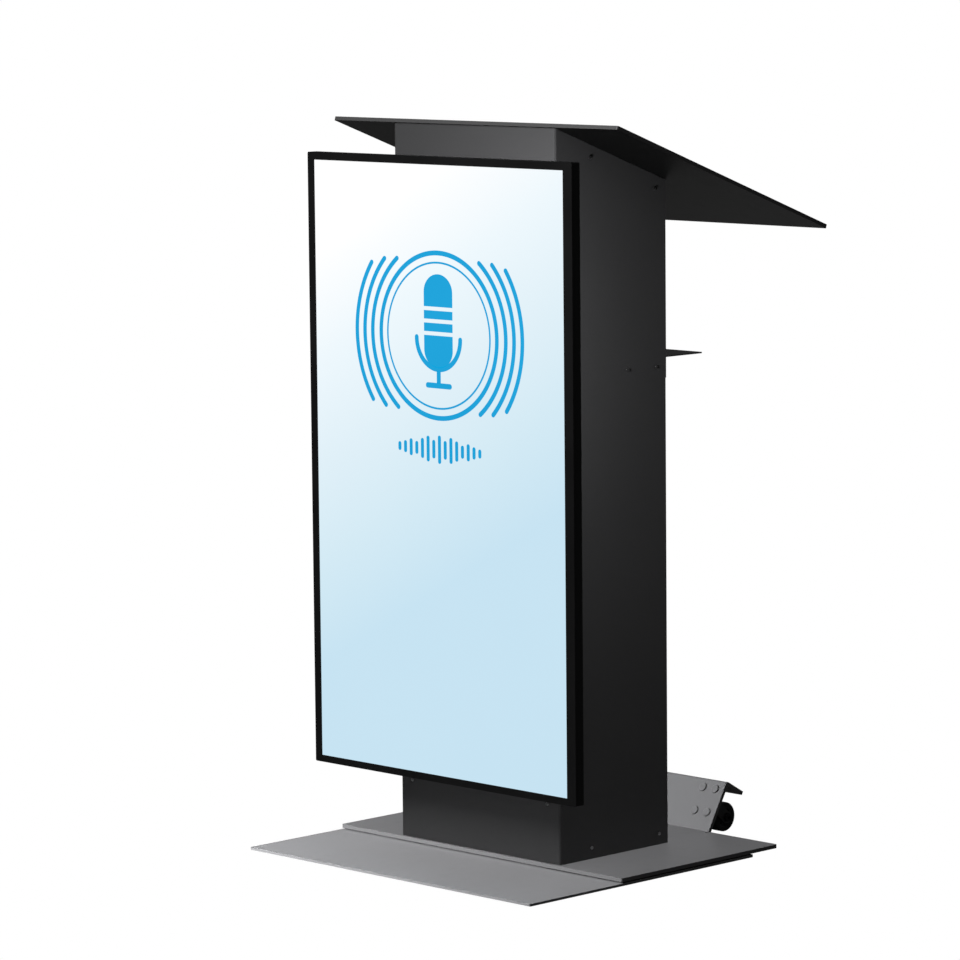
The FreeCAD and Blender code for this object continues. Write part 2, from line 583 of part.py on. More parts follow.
# louvre slots, upper and lower
for zc in (DOOR_Z0 + 60.0, DOOR_Z1 - 90.0):
    for i in range(5):
        z = zc + i * 12.0
        for xc in (-62.0, 62.0):
            door = door.cut(box(xc - 50.0, xc + 50.0, CR - 3, CR + 1, z - 2.5, z + 2.5))
# lock bore and the notch in the return for the cam
door = door.cut(cyl((LOCK_X, CR - 4, LOCK_Z), 8.0, 6, (0, 1, 0)))
door = door.cut(box(DX - 3, DX + 1, CR - 6.4, CR - 2.0, LOCK_Z - 28.0, LOCK_Z + 9.0))
put("rear_door", door)

HY = CR + HINGE_R + 0.4
HX = -(HW - FLANGE_W) + DOOR_GAP / 2
LT = 1.5                                  # leaf thickness
HINGE_Z = [200.0, 640.0]
HL = 60.0                                 # hinge length
frame_leaves, door_leaves, hpins = [], [], []
for hz in HINGE_Z:
    z0 = hz
    k = HL / 3.0
    fl = box(-HW + 3.4, HX - 3.9, CR, CR + LT, z0, z0 + HL)
    for za, zb2 in ((z0, z0 + k - 0.2), (z0 + 2 * k + 0.2, z0 + HL)):
        fl = fl.fuse(box(HX - 4.2, HX, CR + 0.4, CR + LT, za, zb2).fuse(cyl((HX, HY, za), HINGE_R, zb2 - za, (0, 0, 1))))
    fl = fl.cut(cyl((HX, HY, z0 - 1), HINGE_PIN_R + 0.02, HL + 2, (0, 0, 1))).removeSplitter()
    frame_leaves.append(fl)
    dl = box(HX + 3.9, HX + 18.0, CR, CR + LT, z0, z0 + HL)
    za, zb2 = z0 + k + 0.2, z0 + 2 * k - 0.2
    dl = dl.fuse(box(HX, HX + 4.2, CR + 0.4, CR + LT, za, zb2).fuse(cyl((HX, HY, za), HINGE_R, zb2 - za, (0, 0, 1))))
    dl = dl.cut(cyl((HX, HY, z0 - 1), HINGE_PIN_R + 0.06, HL + 2, (0, 0, 1))).removeSplitter()
    door_leaves.append(dl)
    p = cyl((HX, HY, z0 - 1.5), HINGE_PIN_R, HL + 1.5, (0, 0, 1)).fuse(cyl((HX, HY, z0 + HL), 2.6, 1.6, (0, 0, 1))).removeSplitter()
    hpins.append(p)
put("frame_hinge_leaves", *frame_leaves)
put("door_hinge_leaves", *door_leaves)
put("door_hinge_pins", *hpins)

LOCK_L = 10.0
lk = cyl((LOCK_X, CR - LOCK_L, LOCK_Z), 7.9, LOCK_L, (0, 1, 0)).fuse(cyl((LOCK_X, CR, LOCK_Z), 11.0, 2.0, (0, 1, 0)))
lk = lk.cut(cyl((LOCK_X, CR - 25.0, LOCK_Z), 5.5 + BORE_CLEAR, 30.0, (0, 1, 0))).removeSplitter()
put("lock_housing", lk)
CAM_Y1 = CR - LOCK_L - 0.4
plug = cyl((LOCK_X, CAM_Y1 - 6.0, LOCK_Z), 5.5, CR + 2.3 - CAM_Y1 + 6.0, (0, 1, 0))
plug = plug.cut(box(LOCK_X - 0.8, LOCK_X + 0.8, CR - 6.0, CR + 5, LOCK_Z - 3.6, LOCK_Z + 3.6))
put("lock_plug", plug)
# nut that holds the barrel to the door
nut = hex_prism((LOCK_X, CR - 2.0 - 5.0, LOCK_Z), 22.0, 5.0, (0, 1, 0)).cut(cyl((LOCK_X, CR - 12, LOCK_Z), 7.95, 14, (0, 1, 0)))
put("lock_nut", nut)
# cranked cam: hangs down when unlocked, turns 90 degrees behind the flange
cam = box(LOCK_X - 7.0, LOCK_X + 7.0, CAM_Y1 - 3.0, CAM_Y1, LOCK_Z - 18.5, LOCK_Z + 7.0)
cam = fillet_axis(cam, 4.0, 1, lambda a, b: a.z > LOCK_Z)
cam = cam.fuse(box(LOCK_X - 7.0, LOCK_X + 7.0, CAM_Y1 - 3.0, CR - 2.6, LOCK_Z - 18.5, LOCK_Z - 15.5))
tip = box(LOCK_X - 7.0, LOCK_X + 7.0, CR - 5.6, CR - 2.6, LOCK_Z - 33.0, LOCK_Z - 15.5)
tip = fillet_axis(tip, 4.0, 1, lambda a, b: a.z < LOCK_Z - 20)
cam = cam.fuse(tip).removeSplitter()
cam = cam.cut(cyl((LOCK_X, CAM_Y1 - 4, LOCK_Z), 5.52, 6, (0, 1, 0)))
put("lock_cam", cam)

# ===========================================================================
# display
# ===========================================================================
OX = DISP_W / 2
OZ0 = SCR_Z0 - BZ_BOT
OZ1 = SCR_Z0 + SCR_H + BZ_TOP
bez = box(-OX, OX, DF, DF + BZ_D, OZ0, OZ1)
bez = fillet_axis(bez, 2.5, 1)
bez = bez.cut(box(-OX + BZ_LEFT, OX - BZ_RIGHT, DF - 1, DF + BZ_LIP + 1, SCR_Z0, SCR_Z0 + SCR_H))
pw = OX - BZ_WALL
pz0, pz1 = OZ0 + BZ_WALL, OZ1 - BZ_WALL
bez = bez.cut(box(-pw, pw, DF + BZ_LIP, DF + BZ_D + 1, pz0, pz1))
# power button hole in the lower wall
BTN_X, BTN_Y = 236.0, DF + 8.0
bez = bez.cut(cyl((BTN_X, BTN_Y, OZ0 - 1), 4.3, BZ_WALL + 2, (0, 0, 1)))
put("display_bezel", bez)
btn = cyl((BTN_X, BTN_Y, OZ0 - 1.2), 4.0, 5.0, (0, 0, 1))
btn = btn.makeFillet(0.6, [e for e in btn.Edges if len(e.Vertexes) == 1 and near(e.Curve.Center.z, OZ0 - 1.2)])
btn = btn.fuse(cyl((BTN_X, BTN_Y, OZ0 + BZ_WALL + 0.3), 5.2, 0.8, (0, 0, 1))).removeSplitter()
put("display_power_button", btn)

pw2 = pw - 6.0
put("lcd_panel", box(-pw2, pw2, DF + BZ_LIP, DF + 3.5, pz0 + 5.6, pz1 - 5.6))
put("light_guide", box(-pw2, pw2, DF + 3.5, DF + 7.5, pz0 + 5.6, pz1 - 5.6))
tray = box(-pw2 - 2, pw2 + 2, DF + 7.5, DF + 12.5, pz0 + 5.6, pz1 - 3.0)
tray = tray.cut(box(-pw2 + 12, pw2 - 12, DF + 9.0, DF + 13, pz0 + 20, pz1 - 20))
put("backlight_tray", tray)

rc = box(-pw + 0.2, pw - 0.2, DF + 14.5, DF + BZ_D, pz0 + 0.2, pz1 - 0.2)
RIM = DF + BZ_D
BK = RIM + BULGE_D
bx, bz0, bz1 = 205.0, WALL_Z - 330.0, WALL_Z + 300.0


def frustum_y(hx0, za0, zb0, y0, hx1, za1, zb1, y1):
    w0 = Part.makePolygon([V(-hx0, y0, za0), V(hx0, y0, za0), V(hx0, y0, zb0), V(-hx0, y0, zb0), V(-hx0, y0, za0)])
    w1 = Part.makePolygon([V(-hx1, y1, za1), V(hx1, y1, za1), V(hx1, y1, zb1), V(-hx1, y1, zb1), V(-hx1, y1, za1)])
    return Part.makeLoft([w0, w1], True, True)


rc = rc.cut(box(-bx + 8.0, bx - 8.0, DF + 14.0, RIM + 1.0, bz0 + 8.0, bz1 - 8.0))
# electronics cover: hollow, tapered, with a flange that lies on the rear panel
bul = frustum_y(bx, bz0, bz1, RIM, bx - 14, bz0 + 14, bz1 - 14, BK)
bul_in = frustum_y(bx - 2.6, bz0 + 2.6, bz1 - 2.6, RIM - 0.01, bx - 14 - 2.4, bz0 + 14 + 2.4, bz1 - 14 - 2.4, BK - 2.5)
ec = bul.cut(bul_in)
ec = ec.fuse(box(-bx - 8.0, bx + 8.0, RIM, RIM + 1.6, bz0 - 8.0, bz1 + 8.0).cut(box(-bx + 1.0, bx - 1.0, RIM - 1, RIM + 2, bz0 + 1.0, bz1 - 1.0))).removeSplitter()
VESA = [(sx * 100.0, WALL_Z + dz) for sx in (-1, 1) for dz in (-100.0, 100.0)]
for x, z in VESA:
    ec = ec.cut(cyl((x, BK - 6, z), 3.05, 8, (0, 1, 0)))
# cooling slots along the top of the bulge
for i in range(14):
    x0 = -117.0 + i * 18.0
    ec = ec.cut(box(x0 - 5.5, x0 + 5.5, BK - 4, BK + 1, bz1 - 60.0, bz1 - 56.0))
    ec = ec.cut(box(x0 - 5.5, x0 + 5.5, BK - 4, BK + 1, bz1 - 50.0, bz1 - 46.0))
put("electronics_cover", ec)
put("display_rear_cover", rc)

mb = box(10, 180, DF + 20.0, DF + 21.6, WALL_Z - 250.0, WALL_Z - 130.0)
for x, z, w, h, t in ((60, -200, 34, 34, 5), (120, -190, 26, 40, 3), (150, -235, 30, 12, 11), (35, -235, 20, 14, 9), (100, -150, 50, 12, 4)):
    mb = mb.fuse(box(x - w / 2, x + w / 2, DF + 21.6, DF + 21.6 + t, WALL_Z + z - h / 2, WALL_Z + z + h / 2))
put("display_mainboard", mb.removeSplitter())
pb = box(-180, -20, DF + 20.0, DF + 21.6, WALL_Z - 250.0, WALL_Z - 110.0)
for x, z, w, h, t in ((-140, -220, 40, 30, 12), (-80, -210, 30, 30, 10), (-60, -150, 24, 44, 12), (-130, -150, 50, 30, 9)):
    pb = pb.fuse(box(x - w / 2, x + w / 2, DF + 21.6, DF + 21.6 + t, WALL_Z + z - h / 2, WALL_Z + z + h / 2))
put("display_power_board", pb.removeSplitter())
put("board_standoffs", *[cyl((x, DF + 12.5, z), 3.0, 7.5, (0, 1, 0)) for x in (-170, -30, 20, 170) for z in (WALL_Z - 245.0, WALL_Z - 135.0)])

# mounting: rails on the display, hook plate on the column
RAIL_D = 20.0
rails = []
HOOKS = (WALL_Z - 100.0 + 55.0, WALL_Z + 100.0 + 55.0)
for sx in (-1, 1):
    xc = sx * 100.0
    r = box(xc - 15, xc + 15, BK, BK + RAIL_D, WALL_Z - 190.0, WALL_Z + 190.0)
    r = r.cut(box(xc - 12.5, xc + 12.5, BK + 2.5, BK + RAIL_D + 1, WALL_Z - 191.0, WALL_Z + 191.0))
    for x, z in VESA:
        if abs(x - xc) < 1:
            r = r.cut(cyl((x, BK - 1, z), 3.05, 5, (0, 1, 0)))
    # hooks that drop over the hook plate's upturned lips
    for hz in HOOKS:
        for k in (-1, 1):
            xa, xb = sorted((xc + k * 12.5, xc + k * 15.0))
            r = r.fuse(box(xa, xb, BK + RAIL_D, BK + RAIL_D + 9.0, hz - 6.0, hz + 16.0))
    rails.append(r.removeSplitter())
HP_Y0 = CF - 3.0
plate = box(-150, 150, HP_Y0, CF, WALL_Z - 170.0, WALL_Z + 190.0)
plate = fillet_axis(plate, 6.0, 1)
plate = plate.cut(box(-70, 70, HP_Y0 - 1, CF + 1, WALL_Z - 60.0, WALL_Z + 60.0))
for hz in HOOKS:
    # ledge standing off the plate, with a lip turned up in front
    ly0 = BK + RAIL_D + 2.0
    plate = plate.fuse(box(-140, 140, ly0, HP_Y0, hz - 12.0, hz - 9.5)).fuse(box(-140, 140, ly0, ly0 + 2.5, hz - 12.0, hz + 8.0))
plate = plate.removeSplitter()
for x, z in WALL_SCREWS:
    plate = plate.cut(cyl((x, HP_Y0 - 1, z), 3.05, 6, (0, 1, 0)))
# each hook is notched from below so that it straddles the lip
hooked = []
for r in rails:
    for hz in HOOKS:
        r = r.cut(box(-200, 200, BK + RAIL_D + 1.7, BK + RAIL_D + 4.8, hz - 8.0, hz + 8.2))
    hooked.append(r)
put("display_rails", *hooked)
put("column_hook_plate", plate)
put("rail_screws", *[button_screw((x, BK + 2.5, z), (0, 1, 0), 3.0, 5.5, 3.0, 7.5, 4.0) for x, z in VESA])
put("hook_plate_bolts", *[button_screw((x, HP_Y0, z), (0, -1, 0), 3.0, 5.5, 3.0, 9.0, 4.0) for x, z in WALL_SCREWS])

# ===========================================================================
# equipment behind the door
# ===========================================================================
PB_Z = 500.0
pbk = box(-95, 95, CF + COL_T, CF + COL_T + 2.0, PB_Z - 70.0, PB_Z + 90.0).fuse(
    box(-95, 95, CF + COL_T + 2.0, CF + 52.0, PB_Z - 70.0, PB_Z - 68.0)).fuse(
    box(-95, 95, CF + 50.0, CF + 52.0, PB_Z - 68.0, PB_Z - 50.0)).removeSplitter()
put("player_bracket", pbk)
mp = box(-85, 85, CF + COL_T + 3.0, CF + COL_T + 3.0 + 38.0, PB_Z - 67.8, PB_Z + 62.0)
mp = fillet_axis(mp, 5.0, 1)
put("media_player", mp)
jb = box(-IW + 0.0, -IW + 45.0, CF + 60.0, CF + 150.0, 200.0, 400.0)
jb = fillet_axis(jb, 2.0, 0)
jb_in = box(-IW + 2.0, -IW + 46.0, CF + 62.0, CF + 148.0, 202.0, 398.0)
put("power_box", jb.cut(jb_in))
put("power_box_lid", box(-IW + 45.0, -IW + 47.0, CF + 60.0, CF + 150.0, 200.0, 400.0))

os.makedirs("parts", exist_ok=True)
for f in os.listdir("parts"):
    if f.endswith(".step"):
        os.remove(os.path.join("parts", f))
lo = [1e9] * 3
hi = [-1e9] * 3
for name, ss in PARTS.items():
    shape = ss[0] if len(ss) == 1 else Part.makeCompound(ss)
    shape.exportStep("parts/%s.step" % name)
    b = shape.BoundBox
    lo = [min(lo[0], b.XMin), min(lo[1], b.YMin), min(lo[2], b.ZMin)]
    hi = [max(hi[0], b.XMax), max(hi[1], b.YMax), max(hi[2], b.ZMax)]
print("%d nodes" % len(PARTS))
print("box", [round(v, 3) for v in lo], [round(v, 3) for v in hi])
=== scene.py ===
import bpy
import bmesh
import json
import math
from mathutils import Matrix, Vector
from mathutils.bvhtree import BVHTree

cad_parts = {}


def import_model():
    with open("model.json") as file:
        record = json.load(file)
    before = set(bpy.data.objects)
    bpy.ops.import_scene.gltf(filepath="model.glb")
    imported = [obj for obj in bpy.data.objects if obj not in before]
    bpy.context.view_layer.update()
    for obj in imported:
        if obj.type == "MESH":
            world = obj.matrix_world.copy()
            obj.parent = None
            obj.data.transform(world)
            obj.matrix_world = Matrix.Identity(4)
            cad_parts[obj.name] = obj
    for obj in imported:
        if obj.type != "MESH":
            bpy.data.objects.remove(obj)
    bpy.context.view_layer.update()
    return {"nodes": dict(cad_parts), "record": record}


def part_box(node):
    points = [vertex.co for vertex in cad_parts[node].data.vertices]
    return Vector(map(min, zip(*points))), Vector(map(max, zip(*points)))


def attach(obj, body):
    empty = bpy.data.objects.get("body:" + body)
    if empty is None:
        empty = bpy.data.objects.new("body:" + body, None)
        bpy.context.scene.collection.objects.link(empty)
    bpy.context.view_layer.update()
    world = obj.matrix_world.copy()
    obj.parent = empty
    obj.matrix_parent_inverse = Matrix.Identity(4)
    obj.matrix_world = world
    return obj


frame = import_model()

NODES = frame["nodes"]
scene = bpy.context.scene

# ---------------------------------------------------------------------------
# camera: a long lens from the front right, a little above the middle
# ---------------------------------------------------------------------------
AZ, EL, ROLL = math.radians(45.405), math.radians(6.928), math.radians(-0.546)
LOC = Vector((4.97528, -5.03049, 1.44187))
back = Vector((math.sin(AZ) * math.cos(EL), -math.cos(AZ) * math.cos(EL), math.sin(EL)))
r0 = (-back).cross(Vector((0, 0, 1))).normalized()
u0 = r0.cross(-back)
right = math.cos(ROLL) * r0 + math.sin(ROLL) * u0
up = -math.sin(ROLL) * r0 + math.cos(ROLL) * u0
cam_data = bpy.data.cameras.new("camera")
cam_data.sensor_width = 36.0
cam_data.sensor_fit = "HORIZONTAL"
cam_data.lens = 171.238
cam_data.clip_start, cam_data.clip_end = 0.1, 60.0
cam = bpy.data.objects.new("camera", cam_data)
scene.collection.objects.link(cam)
cam.matrix_world = Matrix((
    (right.x, up.x, back.x, LOC.x),
    (right.y, up.y, back.y, LOC.y),
    (right.z, up.z, back.z, LOC.z),
    (0, 0, 0, 1)))
scene.camera = cam

# ---------------------------------------------------------------------------
# surroundings: pale floor, white surroundings, soft studio light
# ---------------------------------------------------------------------------
scene.view_settings.view_transform = "Standard"
scene.view_settings.look = "None"
scene.view_settings.exposure = 0.0
scene.view_settings.gamma = 1.0


def tree(mat):
    mat.use_nodes = True
    nt = mat.node_tree
    nt.nodes.clear()
    return nt


FILL = 0.06          # even light from all round


def world():
    """White to the camera; for everything else an even fill."""
    w = bpy.data.worlds.new("studio")
    scene.world = w
    w.use_nodes = True
    nt = w.node_tree
    nt.nodes.clear()
    out = nt.nodes.new("ShaderNodeOutputWorld")
    lp = nt.nodes.new("ShaderNodeLightPath")
    seen = nt.nodes.new("ShaderNodeBackground")
    seen.inputs[0].default_value = (1, 1, 1, 1)
    seen.inputs[1].default_value = 1.0
    fill = nt.nodes.new("ShaderNodeBackground")
    fill.inputs[0].default_value = (1, 1, 1, 1)
    fill.inputs[1].default_value = FILL
    mix = nt.nodes.new("ShaderNodeMixShader")
    nt.links.new(lp.outputs["Is Camera Ray"], mix.inputs[0])
    nt.links.new(fill.outputs[0], mix.inputs[1])
    nt.links.new(seen.outputs[0], mix.inputs[2])
    nt.links.new(mix.outputs[0], out.inputs[0])


def floor():
    """Pale floor that reads as plain white in the picture and throws little light back up."""
    me = bpy.data.meshes.new("floor")
    s = 14.0
    me.from_pydata([(-s, -s, 0), (s, -s, 0), (s, s, 0), (-s, s, 0)], [], [(0, 1, 2, 3)])
    ob = bpy.data.objects.new("floor", me)
    scene.collection.objects.link(ob)
    m = bpy.data.materials.new("floor_paint")
    nt = tree(m)
    out = nt.nodes.new("ShaderNodeOutputMaterial")
    lp = nt.nodes.new("ShaderNodeLightPath")
    d = nt.nodes.new("ShaderNodeBsdfDiffuse")
    d.inputs["Color"].default_value = (FLOOR, FLOOR, FLOOR, 1)
    e = nt.nodes.new("ShaderNodeEmission")
    e.inputs[0].default_value = (1, 1, 1, 1)
    e.inputs[1].default_value = 1.0
    mix = nt.nodes.new("ShaderNodeMixShader")
    nt.links.new(lp.outputs["Is Camera Ray"], mix.inputs[0])
    nt.links.new(d.outputs[0], mix.inputs[1])
    nt.links.new(e.outputs[0], mix.inputs[2])
    nt.links.new(mix.outputs[0], out.inputs[0])
    me.materials.append(m)


def link_only(o, name, only):
    """The light o lights, and is shadowed by, these nodes alone."""
    for kind in ("receiver", "blocker"):
        c = bpy.data.collections.new(name + "_" + kind)
        for n in only:
            c.objects.link(NODES[n])
        setattr(o.light_linking, kind + "_collection", c)


def area(name, loc, target, size, power, only=(), gloss=True):
    l = bpy.data.lights.new(name, "AREA")
    l.shape = "RECTANGLE"
    l.size, l.size_y = size
    l.energy = power
    o = bpy.data.objects.new(name, l)
    scene.collection.objects.link(o)
    o.location = Vector(loc)
    o.rotation_mode = "QUATERNION"
    o.rotation_quaternion = (Vector(target) - Vector(loc)).to_track_quat("-Z", "Y")
    o.visible_camera = False
    o.visible_glossy = gloss
    if only:
        link_only(o, name, only)
    return o


def sun(name, azimuth, elevation, angle, strength, only=()):
    """Distant light; with a list of nodes it lights and is shadowed by those alone."""
    l = bpy.data.lights.new(name, "SUN")
    l.energy = strength
    l.angle = math.radians(angle)
    o = bpy.data.objects.new(name, l)
    scene.collection.objects.link(o)
    a, e = math.radians(azimuth), math.radians(elevation)
    d = Vector((math.sin(a) * math.cos(e), -math.cos(a) * math.cos(e), math.sin(e)))
    o.rotation_mode = "QUATERNION"
    o.rotation_quaternion = (-d).to_track_quat("-Z", "Y")
    if only:
        link_only(o, name, only)
    return o


FLOOR = 0.08
world()
floor()
# name, place, aim, size, watts
LIGHTS = [
    ("key", (-1.6, -4.6, 4.4), (0, 0, 0.5), (3.0, 2.4), 330),
    ("corner_high", (1.3, -1.1, 1.75), (0.175, 0, 0.9), (0.5, 0.5), 3.0),
    ("edge_near", (0.30, -0.52, 0.84), (0.175, 0.05, 0.80), (0.14, 0.14), 9.5, ("column_shell", "column_side_screws", "front_brace_screws"), False),
    ("rear", (0.0, 4.6, 1.8), (0, 0, 0.6), (1.2, 2.0), 300, (), False),
    ("base_left", (-0.9, -1.4, 0.7), (-0.1, 0, 0), (0.5, 0.4), 285, ("lower_base_plate", "upper_base_plate", "caster_bolts"), False),
]
for args in LIGHTS:
    area(*args)
sun("overhead", 0, 75, 30, 4.2, ("lower_base_plate", "upper_base_plate", "caster_bolts")).visible_glossy = False


# ---------------------------------------------------------------------------
# node helpers
# ---------------------------------------------------------------------------
class Mat:
    def __init__(self, name):
        self.m = bpy.data.materials.new(name)
        self.nt = tree(self.m)
        self.out = self.n("OutputMaterial")
        self.p = self.n("BsdfPrincipled")
        self.link(self.p.outputs[0], self.out.inputs[0])
        self.tc = self.n("TexCoord")
        self.obj = self.tc.outputs["Object"]
        self.height = None

    def n(self, kind):
        return self.nt.nodes.new("ShaderNode" + kind)

    def link(self, a, b):
        self.nt.links.new(a, b)

    def set(self, **kw):
        for k, v in kw.items():
            s = self.p.inputs[k.replace("_", " ")]
            s.default_value = v
        return self

    def mapping(self, scale, src=None):
        mp = self.n("Mapping")
        mp.inputs["Scale"].default_value = scale if isinstance(scale, tuple) else (scale,) * 3
        self.link(src or self.obj, mp.inputs["Vector"])
        return mp.outputs[0]

    def noise(self, scale, detail=2.0, rough=0.5, vec=None, distort=0.0):
        t = self.n("TexNoise")
        t.inputs["Scale"].default_value = scale
        t.inputs["Detail"].default_value = detail
        t.inputs["Roughness"].default_value = rough
        t.inputs["Distortion"].default_value = distort
        self.link(vec or self.obj, t.inputs["Vector"])
        return t.outputs["Fac"]

    def voronoi(self, scale, vec=None, feature="F1", out="Distance"):
        t = self.n("TexVoronoi")
        t.feature = feature
        t.inputs["Scale"].default_value = scale
        self.link(vec or self.obj, t.inputs["Vector"])
        return t.outputs[out]

    def ramp(self, fac, stops, mode="LINEAR"):
        r = self.n("ValToRGB")
        r.color_ramp.interpolation = mode
        els = r.color_ramp.elements
        while len(els) < len(stops):
            els.new(0.5)
        for e, (p, c) in zip(els, stops):
            e.position = p
            e.color = (*c, 1) if len(c) == 3 else c
        self.link(fac, r.inputs[0])
        return r.outputs[0]

    def rng(self, fac, a, b, c, d):
        r = self.n("MapRange")
        r.inputs["From Min"].default_value = a
        r.inputs["From Max"].default_value = b
        r.inputs["To Min"].default_value = c
        r.inputs["To Max"].default_value = d
        self.link(fac, r.inputs["Value"])
        return r.outputs["Result"]

    def math(self, op, a, b=None, clamp=False):
        t = self.n("Math")
        t.operation = op
        t.use_clamp = clamp
        for i, v in enumerate((a, b)):
            if v is None:
                continue
            if isinstance(v, (int, float)):
                t.inputs[i].default_value = v
            else:
                self.link(v, t.inputs[i])
        return t.outputs[0]

    def mixc(self, fac, a, b, blend="MIX"):
        t = self.n("Mix")
        t.data_type = "RGBA"
        t.blend_type = blend
        if isinstance(fac, (int, float)):
            t.inputs["Factor"].default_value = fac
        else:
            self.link(fac, t.inputs["Factor"])
        for i, v in ((6, a), (7, b)):
            if isinstance(v, tuple):
                t.inputs[i].default_value = (*v, 1) if len(v) == 3 else v
            else:
                self.link(v, t.inputs[i])
        return t.outputs[2]

    def bump(self, h, strength, dist):
        b = self.n("Bump")
        b.inputs["Strength"].default_value = strength
        b.inputs["Distance"].default_value = dist
        self.link(h, b.inputs["Height"])
        if self.height is not None:
            self.link(self.height, b.inputs["Normal"])
        self.height = b.outputs[0]
        self.link(self.height, self.p.inputs["Normal"])
        return self

    def color(self, c):
        self.link(c, self.p.inputs["Base Color"])
        return self

    def rough(self, r):
        self.link(r, self.p.inputs["Roughness"])
        return self

    def xyz(self, src=None):
        s = self.n("SeparateXYZ")
        self.link(src or self.obj, s.inputs[0])
        return s.outputs


def shade(c, k):
    return tuple(min(1.0, v * k) for v in c)


def powder(name, c, r0=0.40, r1=0.50, spec=0.5, tex=0.12):
    """Powder coat: leathery fine texture, speckle, slow cloudiness and faint handling marks."""
    m = Mat(name)
    m.set(Specular_IOR_Level=spec)
    speck = m.noise(1900.0, 2.0, 0.6)
    cloud = m.noise(5.5, 3.0, 0.55)
    col = m.ramp(speck, [(0.30, shade(c, 0.80)), (0.52, c), (0.74, shade(c, 1.35))])
    col = m.mixc(m.rng(cloud, 0.35, 0.70, 0.0, 0.18), col, shade(c, 1.30))
    m.color(col)
    marks = m.noise(38.0, 4.0, 0.65, vec=m.mapping((1.0, 1.0, 0.35)))
    m.rough(m.math("ADD", m.rng(cloud, 0.3, 0.7, r0 * 0.62 + r1 * 0.38, r0 * 0.38 + r1 * 0.62), m.rng(marks, 0.55, 0.8, 0.0, 0.035)))
    m.bump(m.noise(620.0, 3.0, 0.55), tex, 0.0006)
    m.bump(m.noise(2400.0, 1.0, 0.5), tex * 0.6, 0.0002)
    return m.m


def plastic(name, c, r0=0.34, r1=0.44, grain=1500.0, amount=0.10, spec=0.5):
    m = Mat(name)
    m.set(Specular_IOR_Level=spec)
    g = m.voronoi(grain)
    cloud = m.noise(9.0, 2.0)
    m.color(m.mixc(m.rng(cloud, 0.3, 0.7, 0.0, 1.0), shade(c, 0.88), shade(c, 1.14)))
    m.rough(m.math("ADD", m.rng(cloud, 0.3, 0.7, r0, r1), m.rng(g, 0.0, 0.6, 0.0, 0.05)))
    m.bump(g, amount, 0.0002)
    return m.m


def rubber(name, c, scale=420.0):
    m = Mat(name)
    m.set(Specular_IOR_Level=0.35)
    n1 = m.noise(scale, 4.0, 0.6)
    dust = m.noise(60.0, 4.0, 0.6)
    m.color(m.mixc(m.rng(dust, 0.5, 0.8, 0.0, 0.6), c, shade(c, 1.9)))
    m.rough(m.rng(n1, 0.3, 0.7, 0.68, 0.86))
    m.bump(n1, 0.25, 0.0006)
    return m.m


def metal(name, c, r0, r1, stretch=(60.0, 60.0, 1400.0), amount=0.10):
    m = Mat(name)
    m.set(Metallic=1.0)
    b = m.noise(1.0, 3.0, 0.6, vec=m.mapping(stretch))
    tint = m.noise(45.0, 2.0)
    m.color(m.mixc(m.rng(tint, 0.3, 0.7, 0.0, 1.0), shade(c, 0.85), shade(c, 1.08)))
    m.rough(m.rng(b, 0.3, 0.7, r0, r1))
    m.bump(b, amount, 0.0002)
    return m.m


def zinc(name):
    """Zinc-plated sheet: soft grain with cloudy passivation."""
    m = Mat(name)
    m.set(Metallic=1.0)
    cells = m.voronoi(230.0, out="Color")
    cloud = m.noise(30.0, 4.0, 0.6)
    bw = m.n("RGBToBW")
    m.link(cells, bw.inputs[0])
    a = m.mixc(m.rng(bw.outputs[0], 0.2, 0.8, 0.0, 1.0), (0.42, 0.43, 0.45), (0.60, 0.61, 0.63))
    m.color(m.mixc(m.rng(cloud, 0.5, 0.75, 0.0, 0.35), a, (0.55, 0.53, 0.46)))
    m.rough(m.math("ADD", m.rng(cloud, 0.3, 0.7, 0.28, 0.42), m.rng(bw.outputs[0], 0.0, 1.0, 0.0, 0.06)))
    m.bump(m.noise(900.0, 2.0), 0.06, 0.0002)
    return m.m


def board(name, c, trace, chip=(0.015, 0.015, 0.016)):
    m = Mat(name)
    m.set(Specular_IOR_Level=0.5)
    x, y, z = m.xyz()
    br = m.n("TexBrick")
    br.inputs["Scale"].default_value = 210.0
    br.inputs["Mortar Size"].default_value = 0.035
    br.inputs["Color1"].default_value = (*c, 1)
    br.inputs["Color2"].default_value = (*shade(c, 1.25), 1)
    br.inputs["Mortar"].default_value = (*trace, 1)
    comb = m.n("CombineXYZ")
    m.link(x, comb.inputs[0])
    m.link(z, comb.inputs[1])
    m.link(comb.outputs[0], br.inputs["Vector"])
    vias = m.voronoi(330.0)
    col = m.mixc(m.rng(vias, 0.10, 0.14, 1.0, 0.0), br.outputs["Color"], shade(trace, 1.5))
    # what stands proud of the board is a dark package
    proud = m.rng(y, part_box(name)[0].y + 0.0018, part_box(name)[0].y + 0.0020, 0.0, 1.0)
    m.color(m.mixc(proud, col, chip))
    m.rough(m.rng(m.noise(200.0, 2.0), 0.3, 0.7, 0.32, 0.5))
    return m.m


